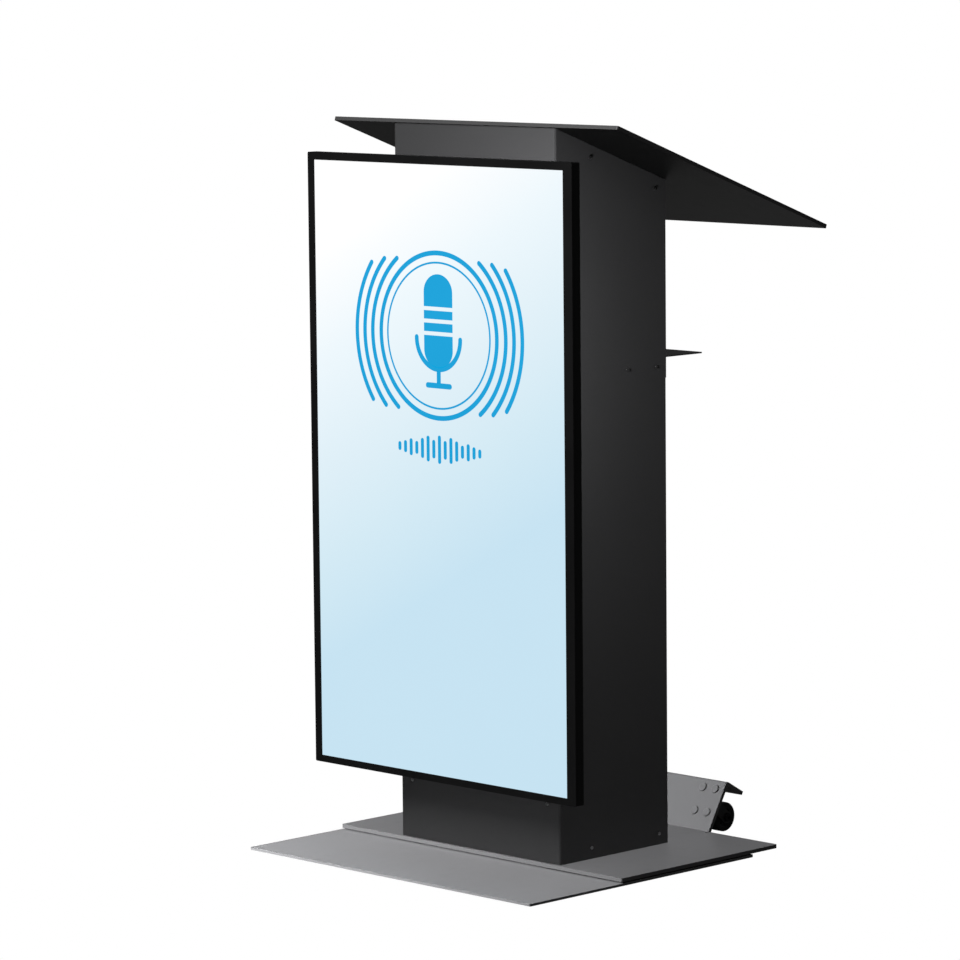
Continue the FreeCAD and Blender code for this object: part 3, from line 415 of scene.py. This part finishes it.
# ---------------------------------------------------------------------------
# materials of the CAD nodes
# ---------------------------------------------------------------------------
GRAPHITE = (0.030, 0.030, 0.031)
MATS = {
    "column_steel": powder("column_coat", GRAPHITE),
    "desk_steel": powder("desk_coat", GRAPHITE),
    "shelf_steel": powder("shelf_coat", GRAPHITE),
    "door_steel": powder("door_coat", GRAPHITE),
    # painted light: the lower base plate uses the column's powder coat painted 1.6 times lighter, a lit copy of the
    # same paint standing in for the light on it; the upper plate and its bolts are painted 1.05 times lighter in the
    # same way
    "lower_base_steel": powder("lower_plate_coat_painted_lighter", shade(GRAPHITE, 1.60), 0.36, 0.44),
    "upper_base_steel": powder("upper_plate_coat", shade(GRAPHITE, 1.05), 0.38, 0.46),
    "painted_bolts": powder("bolt_coat", shade(GRAPHITE, 1.05), 0.34, 0.42, tex=0.06),
    "caster_steel": powder("caster_coat", (0.011, 0.011, 0.0112), 0.34, 0.44, spec=0.4, tex=0.08),
    "hinge_steel": powder("hinge_coat", (0.022, 0.022, 0.023), 0.30, 0.40, tex=0.06),
    "rail_steel": powder("rail_coat", (0.010, 0.010, 0.010), 0.40, 0.52),
    "zinc_steel": zinc("zinc_plate"),
    "dark_steel": metal("black_oxide", (0.022, 0.022, 0.024), 0.38, 0.50, (700.0, 60.0, 60.0), 0.06),
    "bright_screws": metal("satin_screw", (0.46, 0.46, 0.47), 0.30, 0.42),
    "lock_chrome": metal("lock_finish", (0.82, 0.82, 0.83), 0.06, 0.14, amount=0.03),
    "pad_rubber": rubber("pad_rubber", (0.014, 0.014, 0.015)),
    "grommet_rubber": rubber("grommet_rubber", (0.012, 0.012, 0.012), 300.0),
    "wheel_hub": plastic("hub_nylon", (0.013, 0.013, 0.0134), 0.40, 0.52, 900.0, spec=0.4),
    "wheel_tyre": rubber("tyre_rubber", (0.0105, 0.0105, 0.0108), 520.0),
    "bezel_plastic": plastic("bezel_plastic", (0.0030, 0.0030, 0.0032), 0.40, 0.50, spec=0.22),
    "button_plastic": plastic("button_plastic", (0.010, 0.010, 0.010), 0.25, 0.35),
    "rear_cover_plastic": plastic("rear_cover_plastic", (0.011, 0.011, 0.012), 0.42, 0.55, 1100.0, 0.2),
    "inlet_plastic": plastic("inlet_plastic", (0.010, 0.010, 0.010), 0.30, 0.42),
    "rocker_plastic": plastic("rocker_plastic", (0.012, 0.012, 0.012), 0.12, 0.2),
    "power_box_plastic": plastic("power_box_plastic", (0.42, 0.42, 0.41), 0.40, 0.50),
    "light_guide_acrylic": plastic("light_guide_acrylic", (0.75, 0.78, 0.80), 0.10, 0.18, 700.0, 0.3),
    "tray_aluminium": metal("tray_aluminium", (0.72, 0.73, 0.74), 0.30, 0.42),
    "player_case": metal("player_anodised", (0.05, 0.05, 0.055), 0.32, 0.42),
    "inlet_brass": metal("pin_brass", (0.75, 0.60, 0.34), 0.20, 0.32),
    "circuit_board": board("display_mainboard", (0.012, 0.085, 0.030), (0.05, 0.20, 0.07)),
    "power_board": board("display_power_board", (0.30, 0.20, 0.085), (0.42, 0.32, 0.16), (0.05, 0.05, 0.06)),
}


def lit_screen():
    """Lit display face: white at the upper left, falling to pale blue lower right."""
    m = Mat("lit_screen")
    m.set(Specular_IOR_Level=0.25, Roughness=0.22)
    m.p.inputs["Base Color"].default_value = (0.01, 0.01, 0.012, 1)
    x, y, z = m.xyz()
    lo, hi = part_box("display_bezel")
    xl, zt = lo.x + 0.0145, hi.z - 0.012
    # t = (0.046*X + 0.0858*(Z - 155)) / 55 with X, Z in mm from the upper left corner
    tx = m.math("MULTIPLY", m.math("SUBTRACT", x, xl), 46.0 / 55.0)
    tz = m.math("MULTIPLY", m.math("SUBTRACT", zt - 0.155, z), 85.8 / 55.0)
    t = m.math("ADD", tx, tz, clamp=True)
    col = m.ramp(t, [(0.0, (1.0, 1.0, 1.0)), (0.25, (0.855, 0.935, 0.975)), (0.5, (0.752, 0.873, 0.935)),
                     (0.75, (0.655, 0.822, 0.906)), (1.0, (0.566, 0.765, 0.885))])
    # very slight unevenness of the backlight
    col = m.mixc(m.rng(m.noise(3.0, 2.0), 0.3, 0.7, 0.0, 1.0), col, m.mixc(1.0, col, (0.985, 0.990, 0.995), "MULTIPLY"))
    m.link(col, m.p.inputs["Emission Color"])
    m.p.inputs["Emission Strength"].default_value = 1.0
    return m.m


MATS["screen"] = lit_screen()

SLOT = {s["node"]: s["material_slot"] for s in frame["record"]["subparts"]}
for name, ob in NODES.items():
    mat = MATS[SLOT[name]]
    if not ob.data.materials:
        ob.data.materials.append(mat)
    for i in range(len(ob.material_slots)):
        ob.material_slots[i].link = "DATA"
        ob.material_slots[i].material = mat


# ---------------------------------------------------------------------------
# softened edges on the sheet parts
# ---------------------------------------------------------------------------
def soften(name, width, segments=2, angle=40.0):
    ob = NODES[name]
    w = ob.modifiers.new("weld", "WELD")
    w.merge_threshold = 0.00002
    b = ob.modifiers.new("edges", "BEVEL")
    b.width = width
    b.segments = segments
    b.limit_method = "ANGLE"
    b.angle_limit = math.radians(angle)
    b.miter_outer = "MITER_ARC"
    k = ob.modifiers.new("flat_faces", "WEIGHTED_NORMAL")
    k.mode = "FACE_AREA"
    k.weight = 100
    k.keep_sharp = True


for n, wd in (("lower_base_plate", 0.0007), ("upper_base_plate", 0.0009), ("desk_top_plate", 0.0009), ("shelf", 0.0004),
              ("display_bezel", 0.0005)):
    soften(n, wd)


# ---------------------------------------------------------------------------
# mesh helpers for new pieces
# ---------------------------------------------------------------------------
def new_piece(name, bm, mat, body, smooth=None):
    me = bpy.data.meshes.new(name)
    bm.normal_update()
    bm.to_mesh(me)
    bm.free()
    me.materials.append(mat)
    ob = bpy.data.objects.new(name, me)
    scene.collection.objects.link(ob)
    if smooth is not None:
        for p in me.polygons:
            p.use_smooth = True
        me.set_sharp_from_angle(angle=math.radians(smooth))
    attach(ob, body)
    return ob


def slab_xz(bm, pts, y0, y1):
    """Closed slab of a polygon given in (x, z), from y0 (front) to y1."""
    a = [bm.verts.new((x, y0, z)) for x, z in pts]
    b = [bm.verts.new((x, y1, z)) for x, z in pts]
    n = len(pts)
    bm.faces.new(a)
    bm.faces.new(list(reversed(b)))
    for i in range(n):
        j = (i + 1) % n
        bm.faces.new((a[j], a[i], b[i], b[j]))


def ring_sector(cx, cz, r0, r1, a0, a1, n, caps=False):
    """Outline of an annular sector, with round ends if asked."""
    pts = []
    for i in range(n + 1):
        a = a0 + (a1 - a0) * i / n
        pts.append((cx + r1 * math.cos(a), cz + r1 * math.sin(a)))
    if caps:
        rm, rr = (r0 + r1) / 2, (r1 - r0) / 2
        for i in range(1, 8):
            t = math.pi * i / 8
            ex, ez = cx + rm * math.cos(a1), cz + rm * math.sin(a1)
            ux, uz = math.cos(a1), math.sin(a1)
            vx, vz = -math.sin(a1), math.cos(a1)
            pts.append((ex + rr * (math.cos(t) * ux + math.sin(t) * vx), ez + rr * (math.cos(t) * uz + math.sin(t) * vz)))
    for i in range(n + 1):
        a = a1 + (a0 - a1) * i / n
        pts.append((cx + r0 * math.cos(a), cz + r0 * math.sin(a)))
    if caps:
        for i in range(1, 8):
            t = math.pi * i / 8
            ex, ez = cx + rm * math.cos(a0), cz + rm * math.sin(a0)
            ux, uz = math.cos(a0), math.sin(a0)
            vx, vz = -math.sin(a0), math.cos(a0)
            pts.append((ex + rr * (-math.cos(t) * ux - math.sin(t) * vx), ez + rr * (-math.cos(t) * uz - math.sin(t) * vz)))
    return pts


def full_ring(bm, cx, cz, r0, r1, y0, y1, n=160):
    vs = []
    for i in range(n):
        a = 2 * math.pi * i / n
        c, s = math.cos(a), math.sin(a)
        vs.append([bm.verts.new((cx + r * c, y, cz + r * s)) for r, y in ((r0, y0), (r1, y0), (r1, y1), (r0, y1))])
    for i in range(n):
        p, q = vs[i], vs[(i + 1) % n]
        for k in range(4):
            l = (k + 1) % 4
            bm.faces.new((p[k], q[k], q[l], p[l]))


# ---------------------------------------------------------------------------
# what the display shows: a plain pictogram of a microphone with sound arcs
# ---------------------------------------------------------------------------
def graphic():
    m = Mat("screen_blue")
    m.set(Specular_IOR_Level=0.25, Roughness=0.22)
    m.p.inputs["Base Color"].default_value = (0.01, 0.01, 0.012, 1)
    g = m.noise(4.0, 1.0)
    m.link(m.mixc(m.rng(g, 0.35, 0.65, 0.0, 1.0), (0.004, 0.350, 0.680), (0.008, 0.372, 0.715)), m.p.inputs["Emission Color"])
    m.p.inputs["Emission Strength"].default_value = 1.0
    lo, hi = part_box("lcd_panel")
    yb = lo.y
    y0, y1 = yb - 0.00035, yb - 0.00002
    cx, cz = 0.001, 0.822
    bm = bmesh.new()
    full_ring(bm, cx, cz, 0.1225, 0.1300, y0, y1)
    full_ring(bm, cx, cz, 0.1100, 0.1130, y0, y1)
    # capsule with three open slots
    w, h = 0.031, 0.050
    zc = cz + 0.022
    bands = [(-h, -0.022), (-0.016, -0.003), (0.003, 0.016), (0.022, h)]
    for b0, b1 in bands:
        pts = []
        if b1 >= h:
            pts += [(cx - w, zc + b0), (cx + w, zc + b0), (cx + w, zc + b1 - 0.0)]
            pts = [(cx - w, zc + b0), (cx + w, zc + b0)]
            pts += [(cx + w * math.cos(math.pi * i / 24), zc + b1 - 0.006 + w * 0.9 * math.sin(math.pi * i / 24)) for i in range(25)]
        elif b0 <= -h:
            pts = [(cx + w, zc + b1), (cx - w, zc + b1)]
            pts += [(cx - w * math.cos(math.pi * i / 24), zc + b0 + 0.006 - w * 0.9 * math.sin(math.pi * i / 24)) for i in range(25)]
        else:
            pts = [(cx - w, zc + b0), (cx + w, zc + b0), (cx + w, zc + b1), (cx - w, zc + b1)]
        slab_xz(bm, pts, y0, y1)
    # yoke, stem and foot
    slab_xz(bm, ring_sector(cx, zc - 0.026, 0.0435, 0.0515, math.pi * 1.0, math.pi * 2.0, 40, caps=True), y0, y1)
    slab_xz(bm, [(cx - 0.0042, zc - 0.095), (cx + 0.0042, zc - 0.095), (cx + 0.0042, zc - 0.0765), (cx - 0.0042, zc - 0.0765)], y0, y1)
    foot = []
    for sx, a0 in ((1, -90), (-1, 90)):
        for i in range(13):
            a = math.radians(a0 + 180 * i / 12)
            foot.append((cx + sx * 0.024 + 0.0042 * math.cos(a), zc - 0.0985 + 0.0042 * math.sin(a)))
    slab_xz(bm, foot, y0, y1)
    # sound arcs to either side
    for r0, r1, half in ((0.1415, 0.1490, 52), (0.1590, 0.1665, 44), (0.1765, 0.1840, 36)):
        for mid in (0.0, math.pi):
            a = math.radians(half)
            slab_xz(bm, ring_sector(cx, cz, r0, r1, mid - a, mid + a, 72, caps=True), y0, y1)
    # a row of level bars underneath
    for i, h in enumerate((6, 10, 16, 11, 20, 27, 18, 30, 18, 27, 20, 11, 16, 10, 6)):
        bx, bh, bz = cx + (i - 7) * 0.0125, h * 0.00062, 0.6475
        bar = []
        for sz, a0 in ((1, 0), (-1, 180)):
            for j in range(9):
                a = math.radians(a0 + 180 * j / 8)
                bar.append((bx + 0.0032 * math.cos(a), bz + sz * bh + 0.0032 * math.sin(a)))
        slab_xz(bm, bar, y0, y1)
    bmesh.ops.recalc_face_normals(bm, faces=bm.faces[:])
    new_piece("screen_graphic", bm, m.m, "stand")


graphic()


# ---------------------------------------------------------------------------
# small trim that the CAD leaves plain
# ---------------------------------------------------------------------------
def block(bm, x0, x1, y0, y1, z0, z1, r=0.0):
    """Box with rounded edges."""
    vs = [bm.verts.new((x, y, z)) for x in (x0, x1) for y in (y0, y1) for z in (z0, z1)]
    fs = [bm.faces.new([vs[i] for i in f]) for f in ((0, 1, 3, 2), (4, 6, 7, 5), (0, 4, 5, 1), (2, 3, 7, 6), (0, 2, 6, 4), (1, 5, 7, 3))]
    if r:
        es = list({e for f in fs for e in f.edges})
        bmesh.ops.bevel(bm, geom=es, offset=r, segments=2, profile=0.5, affect="EDGES")


def lathe(bm, origin, axis, prof, n=32):
    """Turned piece: prof is (radius, height) from the axis outwards and back, closed at the ends."""
    o, ax = Vector(origin), Vector(axis).normalized()
    u = ax.orthogonal().normalized()
    v = ax.cross(u)
    rings = []
    for r, h in prof:
        if r <= 1e-7:
            rings.append([bm.verts.new(o + ax * h)])
        else:
            rings.append([bm.verts.new(o + ax * h + u * (r * math.cos(2 * math.pi * i / n)) + v * (r * math.sin(2 * math.pi * i / n))) for i in range(n)])
    for a, b in zip(rings, rings[1:]):
        for i in range(n):
            j = (i + 1) % n
            if len(a) == 1 and len(b) > 1:
                bm.faces.new((a[0], b[i], b[j]))
            elif len(b) == 1 and len(a) > 1:
                bm.faces.new((a[i], b[0], a[j]))
            elif len(a) > 1:
                bm.faces.new((a[i], b[i], b[j], a[j]))


def screw_head(bm, origin, axis, r, h):
    """Pan head with a round dished recess."""
    lathe(bm, origin, axis, [(0, -0.0002), (r, -0.0002), (r, h * 0.35), (r * 0.90, h * 0.72), (r * 0.66, h * 0.95), (r * 0.44, h),
                             (r * 0.36, h * 0.70), (r * 0.20, h * 0.32), (0, h * 0.22)], 28)


NICKEL = metal("port_nickel", (0.50, 0.50, 0.51), 0.24, 0.36)
SOCKET = plastic("port_black", (0.006, 0.006, 0.006), 0.38, 0.5)
LABEL = plastic("port_plate_grey", (0.030, 0.030, 0.032), 0.34, 0.44)


def finish_piece(name, bm, mat, body, smooth=35):
    bmesh.ops.recalc_face_normals(bm, faces=bm.faces[:])
    return new_piece(name, bm, mat, body, smooth)


def display_back():
    lo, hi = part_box("display_rear_cover")
    y = hi.y
    bm = bmesh.new()
    for sx in (-1, 1):
        for i in range(6):
            z = lo.z + 0.020 + i * (hi.z - lo.z - 0.040) / 5
            screw_head(bm, (sx * (hi.x - 0.011), y, z), (0, 1, 0), 0.0030, 0.0012)
    for i in range(3):
        x = (i - 1) * 0.17
        for z in (lo.z + 0.011, hi.z - 0.011):
            screw_head(bm, (x, y, z), (0, 1, 0), 0.0030, 0.0012)
    finish_piece("rear_cover_screws", bm, MATS["dark_steel"], "stand")
    # moulded stiffening ribs either side of the electronics cover
    bm = bmesh.new()
    for sx in (-1, 1):
        for i in range(9):
            z = lo.z + 0.11 + i * 0.090
            a, b = sorted((sx * 0.2205, sx * 0.2580))
            block(bm, a, b, y - 0.0004, y + 0.0012, z - 0.0015, z + 0.0015, 0.0005)
    finish_piece("rear_cover_ribs", bm, MATS["rear_cover_plastic"], "stand", 50)
    # connector strip on the back of the electronics cover
    elo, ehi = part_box("electronics_cover")
    y = ehi.y
    zc = 0.45
    bm = bmesh.new()
    block(bm, 0.1440, 0.1860, y - 0.0003, y + 0.0012, zc - 0.115, zc + 0.115, 0.0005)
    finish_piece("port_plate", bm, LABEL, "stand", 40)
    metal_bm, dark_bm = bmesh.new(), bmesh.new()
    for z, w, h in ((0.094, 0.0155, 0.0062), (0.074, 0.0155, 0.0062), (0.050, 0.0160, 0.0135), (0.026, 0.0130, 0.0060), (0.010, 0.0130, 0.0060), (-0.014, 0.0300, 0.0095)):
        x = 0.165
        block(metal_bm, x - w / 2 - 0.0008, x + w / 2 + 0.0008, y + 0.0006, y + 0.0030, zc + z - h / 2 - 0.0008, zc + z + h / 2 + 0.0008, 0.0004)
        block(dark_bm, x - w / 2, x + w / 2, y + 0.0010, y + 0.0031, zc + z - h / 2, zc + z + h / 2, 0.0003)
        block(metal_bm, x - w / 2 + 0.002, x + w / 2 - 0.002, y + 0.0012, y + 0.00335, zc + z - 0.0006, zc + z + 0.0006, 0.0002)
    for z in (-0.040, -0.056, -0.072):
        lathe(metal_bm, (0.165, y + 0.0006, zc + z), (0, 1, 0), [(0, 0), (0.0045, 0), (0.0045, 0.0024), (0.0040, 0.0028), (0.0024, 0.0028), (0.0022, 0.0014), (0, 0.0012)], 28)
    for z in (-0.098,):
        lathe(metal_bm, (0.165, y + 0.0006, zc + z), (0, 1, 0), [(0, 0), (0.0060, 0), (0.0060, 0.0018), (0.0050, 0.0030), (0.0046, 0.0060), (0.0022, 0.0060), (0.0020, 0.0030), (0, 0.0030)], 32)
    finish_piece("port_shells", metal_bm, NICKEL, "stand")
    finish_piece("port_sockets", dark_bm, SOCKET, "stand")


def player_front():
    lo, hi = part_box("media_player")
    y = hi.y
    cx = (lo.x + hi.x) / 2
    bm = bmesh.new()
    for i in range(16):
        z = hi.z - 0.016 - i * 0.0045
        block(bm, cx - 0.066, cx + 0.066, y - 0.0003, y + 0.0010, z - 0.0011, z + 0.0011, 0.0004)
    finish_piece("player_fins", bm, MATS["player_case"], "stand", 40)
    metal_bm, dark_bm = bmesh.new(), bmesh.new()
    for x, w, h in ((-0.062, 0.013, 0.006), (-0.044, 0.013, 0.006), (-0.022, 0.016, 0.006), (0.002, 0.016, 0.013)):
        z = lo.z + 0.018
        block(metal_bm, cx + x - w / 2 - 0.0008, cx + x + w / 2 + 0.0008, y - 0.0003, y + 0.0012, z - h / 2 - 0.0008, z + h / 2 + 0.0008, 0.0004)
        block(dark_bm, cx + x - w / 2, cx + x + w / 2, y, y + 0.0014, z - h / 2, z + h / 2, 0.0003)
    for x in (0.034,):
        lathe(dark_bm, (cx + x, y, lo.z + 0.018), (0, 1, 0), [(0, -0.0002), (0.0052, -0.0002), (0.0052, 0.0012), (0.0046, 0.0018), (0.0040, 0.0012), (0, 0.0010)], 32)
    for sx in (-1, 1):
        for z in (lo.z + 0.006, hi.z - 0.006):
            screw_head(metal_bm, (cx + sx * 0.079, y, z), (0, 1, 0), 0.0024, 0.0010)
    finish_piece("player_shells", metal_bm, NICKEL, "stand")
    finish_piece("player_sockets", dark_bm, SOCKET, "stand")
    led = Mat("player_led")
    led.set(Roughness=0.25)
    led.p.inputs["Base Color"].default_value = (0.02, 0.25, 0.04, 1)
    led.link(led.mixc(led.rng(led.noise(900.0, 1.0), 0.3, 0.7, 0.0, 1.0), (0.05, 0.80, 0.12), (0.10, 1.0, 0.20)), led.p.inputs["Emission Color"])
    led.p.inputs["Emission Strength"].default_value = 1.2
    bm = bmesh.new()
    lathe(bm, (cx + 0.058, y, lo.z + 0.018), (0, 1, 0), [(0, -0.0002), (0.0017, -0.0002), (0.0017, 0.0006), (0.0012, 0.0012), (0, 0.0014)], 24)
    finish_piece("player_lamp", bm, led.m, "stand")


def power_box_trim():
    lo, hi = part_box("power_box_lid")
    x = hi.x
    bm = bmesh.new()
    for y in (lo.y + 0.007, hi.y - 0.007):
        for z in (lo.z + 0.007, hi.z - 0.007):
            screw_head(bm, (x, y, z), (1, 0, 0), 0.0030, 0.0013)
    finish_piece("power_box_screws", bm, MATS["zinc_steel"], "stand")
    bm = bmesh.new()
    yc = (lo.y + hi.y) / 2
    for i in range(3):
        z = lo.z + 0.045 + i * 0.055
        lathe(bm, (x, yc, z), (1, 0, 0), [(0, -0.0002), (0.0205, -0.0002), (0.0205, 0.0009), (0.0197, 0.0014), (0.0178, 0.0014), (0.0170, 0.0006), (0, 0.0006)], 48)
        for dy, dz in ((-0.0075, -0.0045), (0.0075, -0.0045), (0.0, 0.0065)):
            block(bm, x + 0.0002, x + 0.0013, yc + dy - 0.0018, yc + dy + 0.0018, z + dz - 0.0008, z + dz + 0.0008, 0.0002)
    finish_piece("power_box_outlets", bm, MATS["power_box_plastic"], "stand", 40)


def rocker_marks():
    """The usual on and off marks, a bar and a ring, printed on the rocker's two halves."""
    white = plastic("mark_white", (0.62, 0.62, 0.60), 0.42, 0.5)
    o = NODES["inlet_rocker"]
    tree = BVHTree.FromPolygons([o.matrix_world @ v.co for v in o.data.vertices], [tuple(q.vertices) for q in o.data.polygons])
    lo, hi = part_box("inlet_rocker")
    cx = (lo.x + hi.x) / 2

    def on_face(x, z, lift):
        hit = tree.ray_cast(Vector((x, 0.2, z)), Vector((0, -1, 0)))[0]
        return Vector((x, hit.y + lift, z))

    bm = bmesh.new()
    mid, n, w = (lo.z + hi.z) / 2, 40, 0.00032
    for lift in (0.00010,):
        z = mid + 0.0052
        a = [bm.verts.new(on_face(cx + x, z + dz, lift)) for x, dz in ((-0.0021, -w), (0.0021, -w), (0.0021, w), (-0.0021, w))]
        bm.faces.new(a)
        z = mid - 0.0052
        rings = [[bm.verts.new(on_face(cx + r * math.cos(2 * math.pi * i / n), z + r * math.sin(2 * math.pi * i / n), lift)) for i in range(n)] for r in (0.0013, 0.0013 + 2 * w)]
        for i in range(n):
            j = (i + 1) % n
            bm.faces.new((rings[0][i], rings[1][i], rings[1][j], rings[0][j]))
    # a thin skin
    base = bm.faces[:]
    geom = bmesh.ops.extrude_face_region(bm, geom=base)["geom"]
    for v in [g for g in geom if isinstance(g, bmesh.types.BMVert)]:
        v.co.y -= 0.00012
    finish_piece("rocker_marks", bm, white, "power_rocker")


display_back()
player_front()
power_box_trim()
rocker_marks()
